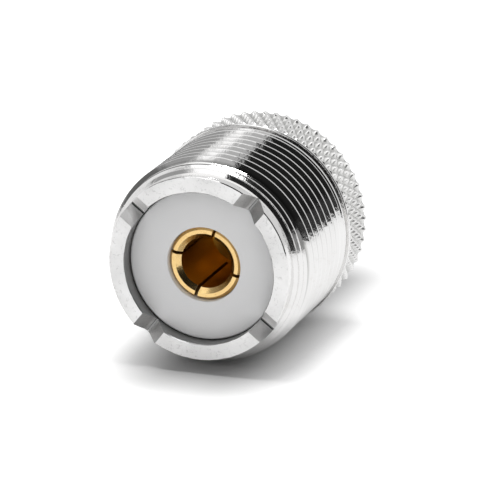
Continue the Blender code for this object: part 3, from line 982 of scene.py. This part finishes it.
table_white = bpy.data.materials.new("table white")
table_white.use_nodes = True
tree = table_white.node_tree
tree.nodes.clear()
x, y, z = split(tree, object_place(tree))
half_length = RIM_FACE / 2
beside = calc(tree, "MAXIMUM", calc(tree, "SUBTRACT", calc(tree, "ABSOLUTE", x), CONTACT_HALF), 0)
beyond = calc(tree, "ABSOLUTE", calc(tree, "SUBTRACT", y, half_length))
beyond = calc(tree, "MAXIMUM", calc(tree, "SUBTRACT", beyond, half_length), 0)
painted_shadow_fade = ramp(tree, length_of(tree, beside, beyond), 0.0, PAINTED_SHADOW_REACH, shape="SMOOTHSTEP")
# Painted shadow: the sheet is a darker grey close to the part, and its glow fades out there.
white = blend(tree, painted_shadow_fade, PAINTED_SHADOW_GREY, FAR_WHITE)
paper = add_node(tree, "ShaderNodeBsdfDiffuse", {"Color": white})
path = add_node(tree, "ShaderNodeLightPath").outputs
seen = calc(tree, "ADD", calc(tree, "MULTIPLY", path["Is Camera Ray"], GLOW_SEEN),
            calc(tree, "MULTIPLY", path["Is Glossy Ray"], GLOW_MIRRORED))
glow = add_node(tree, "ShaderNodeEmission", {"Strength": calc(tree, "MULTIPLY", seen, painted_shadow_fade)})
front = add_node(tree, "ShaderNodeAddShader", {0: paper.outputs[0], 1: glow.outputs[0]})
clear = add_node(tree, "ShaderNodeBsdfTransparent")
behind = add_node(tree, "ShaderNodeNewGeometry").outputs["Backfacing"]
sheet = add_node(tree, "ShaderNodeMixShader", {0: behind, 1: front.outputs[0], 2: clear.outputs[0]})
add_node(tree, "ShaderNodeOutputMaterial", {"Surface": sheet.outputs[0]})
table.data.materials.append(table_white)
print("table touches the ring at", round(PEAK_RADIUS / MM, 2), "mm from the axis")

# %% [markdown]
# ## Light
#
# Bright metal shows its surroundings and little else. The part lies in a white tent with walls of
# different brightness, which are drawn in the world's own colour, by direction. Bearings run round
# the table: 0 degrees is the way that the notched rim faces, and they grow to the picture's left.
# A wall is its bearing, half its width, its lower and upper height, the softness of its edges, all
# in degrees, and its brightness.

# %% Helpers for the tent
AXIS = Vector((0, 0, 1))
SIDE = AXIS.cross(toward)


def part_along(tree, direction, axis):
    """How far a direction runs along an axis."""
    dot = add_node(tree, "ShaderNodeVectorMath", {0: direction, 1: axis}, operation="DOT_PRODUCT")
    return dot.outputs["Value"]


def fade(tree, level, mask, goal):
    """A level that gives way to a goal where a mask is 1."""
    return calc(tree, "ADD", level, calc(tree, "MULTIPLY", mask, calc(tree, "SUBTRACT", goal, level)))


def wall(tree, across, up, bearing, half_width, low, high, soft):
    """A mask of 1 inside a patch of the tent, between two heights and around a bearing."""
    bearing, half_width, low, high, soft = map(math.radians, (bearing, half_width, low, high, soft))
    cos, sin = math.cos(bearing), math.sin(bearing)
    ahead = calc(tree, "ADD", calc(tree, "MULTIPLY", across[0], cos),
                 calc(tree, "MULTIPLY", across[1], sin))
    aside = calc(tree, "SUBTRACT", calc(tree, "MULTIPLY", across[1], cos),
                 calc(tree, "MULTIPLY", across[0], sin))
    off = calc(tree, "ABSOLUTE", calc(tree, "ARCTAN2", aside, ahead))
    height = calc(tree, "ARCSINE", up)
    inside = 1
    for room in (
        calc(tree, "SUBTRACT", half_width, off),
        calc(tree, "SUBTRACT", height, low),
        calc(tree, "SUBTRACT", high, height),
    ):
        inside = calc(tree, "MULTIPLY", inside, ramp(tree, room, -soft, soft, shape="SMOOTHSTEP"))
    return inside


# %% [markdown]
# The side where the camera stands is dark, and a black card over it gives the thread its dark
# bands. Matt surfaces see one plain level instead of the tent, so that a colour shows about as it
# is written, and to the camera's own rays the tent is plain white.

# %% Build the white tent
PLAIN_LEVEL = 0.56
TENT_LEVEL = 0.65
WALLS = {
    "ceiling": (180, 181, 50, 100, 8, 1.3),
    "front ceiling": (0, 25, 40, 62, 6, 0.5),
    "back right": (-130, 18, -10, 50, 6, 1.0),
    "back": (180, 36, -10, 40, 6, 0.75),
    "left": (105, 20, -10, 46, 6, 0.9),
    "right": (-95, 20, -10, 46, 5, 0.3),
    "front left": (52, 34, -10, 38, 6, 0.14),
    "high left": (66, 24, 32, 58, 5, 0.36),
    "high front left": (24, 16, 34, 46, 4, 0.7),
    "camera side": (-35, 42, -10, 46, 4, 0.04),
    "front": (10, 12, -10, 32, 4, 0.1),
}
CARD = (-89, 37, -12, 68, 2)
CARD_LEVEL = 0.014

world = bpy.data.worlds.new("white tent")
bpy.context.scene.world = world
world.use_nodes = True
tree = world.node_tree
tree.nodes.clear()
direction = add_node(tree, "ShaderNodeTexCoord").outputs["Generated"]
table_axes = [part_along(tree, direction, axis) for axis in (AXIS, SIDE)]
table_up = part_along(tree, direction, toward)
level = TENT_LEVEL
for *patch, strength in WALLS.values():
    level = fade(tree, level, wall(tree, table_axes, table_up, *patch), strength)
x, y, z = split(tree, direction)
level = fade(tree, level, wall(tree, (x, y), z, *CARD), CARD_LEVEL)
path = add_node(tree, "ShaderNodeLightPath").outputs
level = fade(tree, level, path["Is Diffuse Ray"], PLAIN_LEVEL)
shown = calc(tree, "MAXIMUM", level, path["Is Camera Ray"])
tent = add_node(tree, "ShaderNodeBackground", {"Color": (1, 1, 1, 1), "Strength": shown})
add_node(tree, "ShaderNodeOutputWorld", {"Surface": tent.outputs[0]})
print("walls of the tent:", ", ".join(WALLS))

# %% [markdown]
# The main lamp is one soft box right over the part. It is twice as wide across the part as along
# it, and gives the small dark shadow under the body.

# %% Hang the soft box
LAMP_HEIGHT = 400 * MM
LAMP_ASIDE = 8 * MM
LAMP_AHEAD = 24 * MM

middle = AXIS * RIM_FACE / 2
lamp_spot = toward * LAMP_HEIGHT + SIDE * LAMP_ASIDE + AXIS * LAMP_AHEAD + middle
bpy.ops.object.light_add(type="AREA", location=lamp_spot)
lamp = bpy.context.object
lamp.name = "soft box"
lamp.data.shape = "RECTANGLE"
lamp.data.size = 200 * MM
lamp.data.size_y = 100 * MM
lamp.data.energy = 0.9
lamp.rotation_mode = "QUATERNION"
lamp.rotation_quaternion = (lamp_spot - middle).to_track_quat("Z", "Y")
lamp.visible_camera = False
print("soft box at", [round(v / MM) for v in lamp.location], "mm, power in watts", lamp.data.energy)

# %% [markdown]
# ## Camera
#
# The camera's place and lens were fitted to the rings of the photographed part: the rim, the
# thread, the grip ring and the socket. It is a long lens, about 32 cm away from the part's foot.

# %% Place the camera
bpy.ops.object.camera_add(
    location=(-20.8297 * MM, -130.4545 * MM, 291.6697 * MM),
    rotation=[math.radians(v) for v in (-17.30095, 19.23483, -141.85891)],
)
camera = bpy.context.object
camera.name = "camera"
camera.data.sensor_width = 36
camera.data.lens = 289.07
camera.data.clip_start = 0.01
camera.data.clip_end = 10
bpy.context.scene.camera = camera
bpy.context.scene.view_settings.view_transform = "Standard"
print("camera at", [round(v / MM, 1) for v in camera.location], "mm")
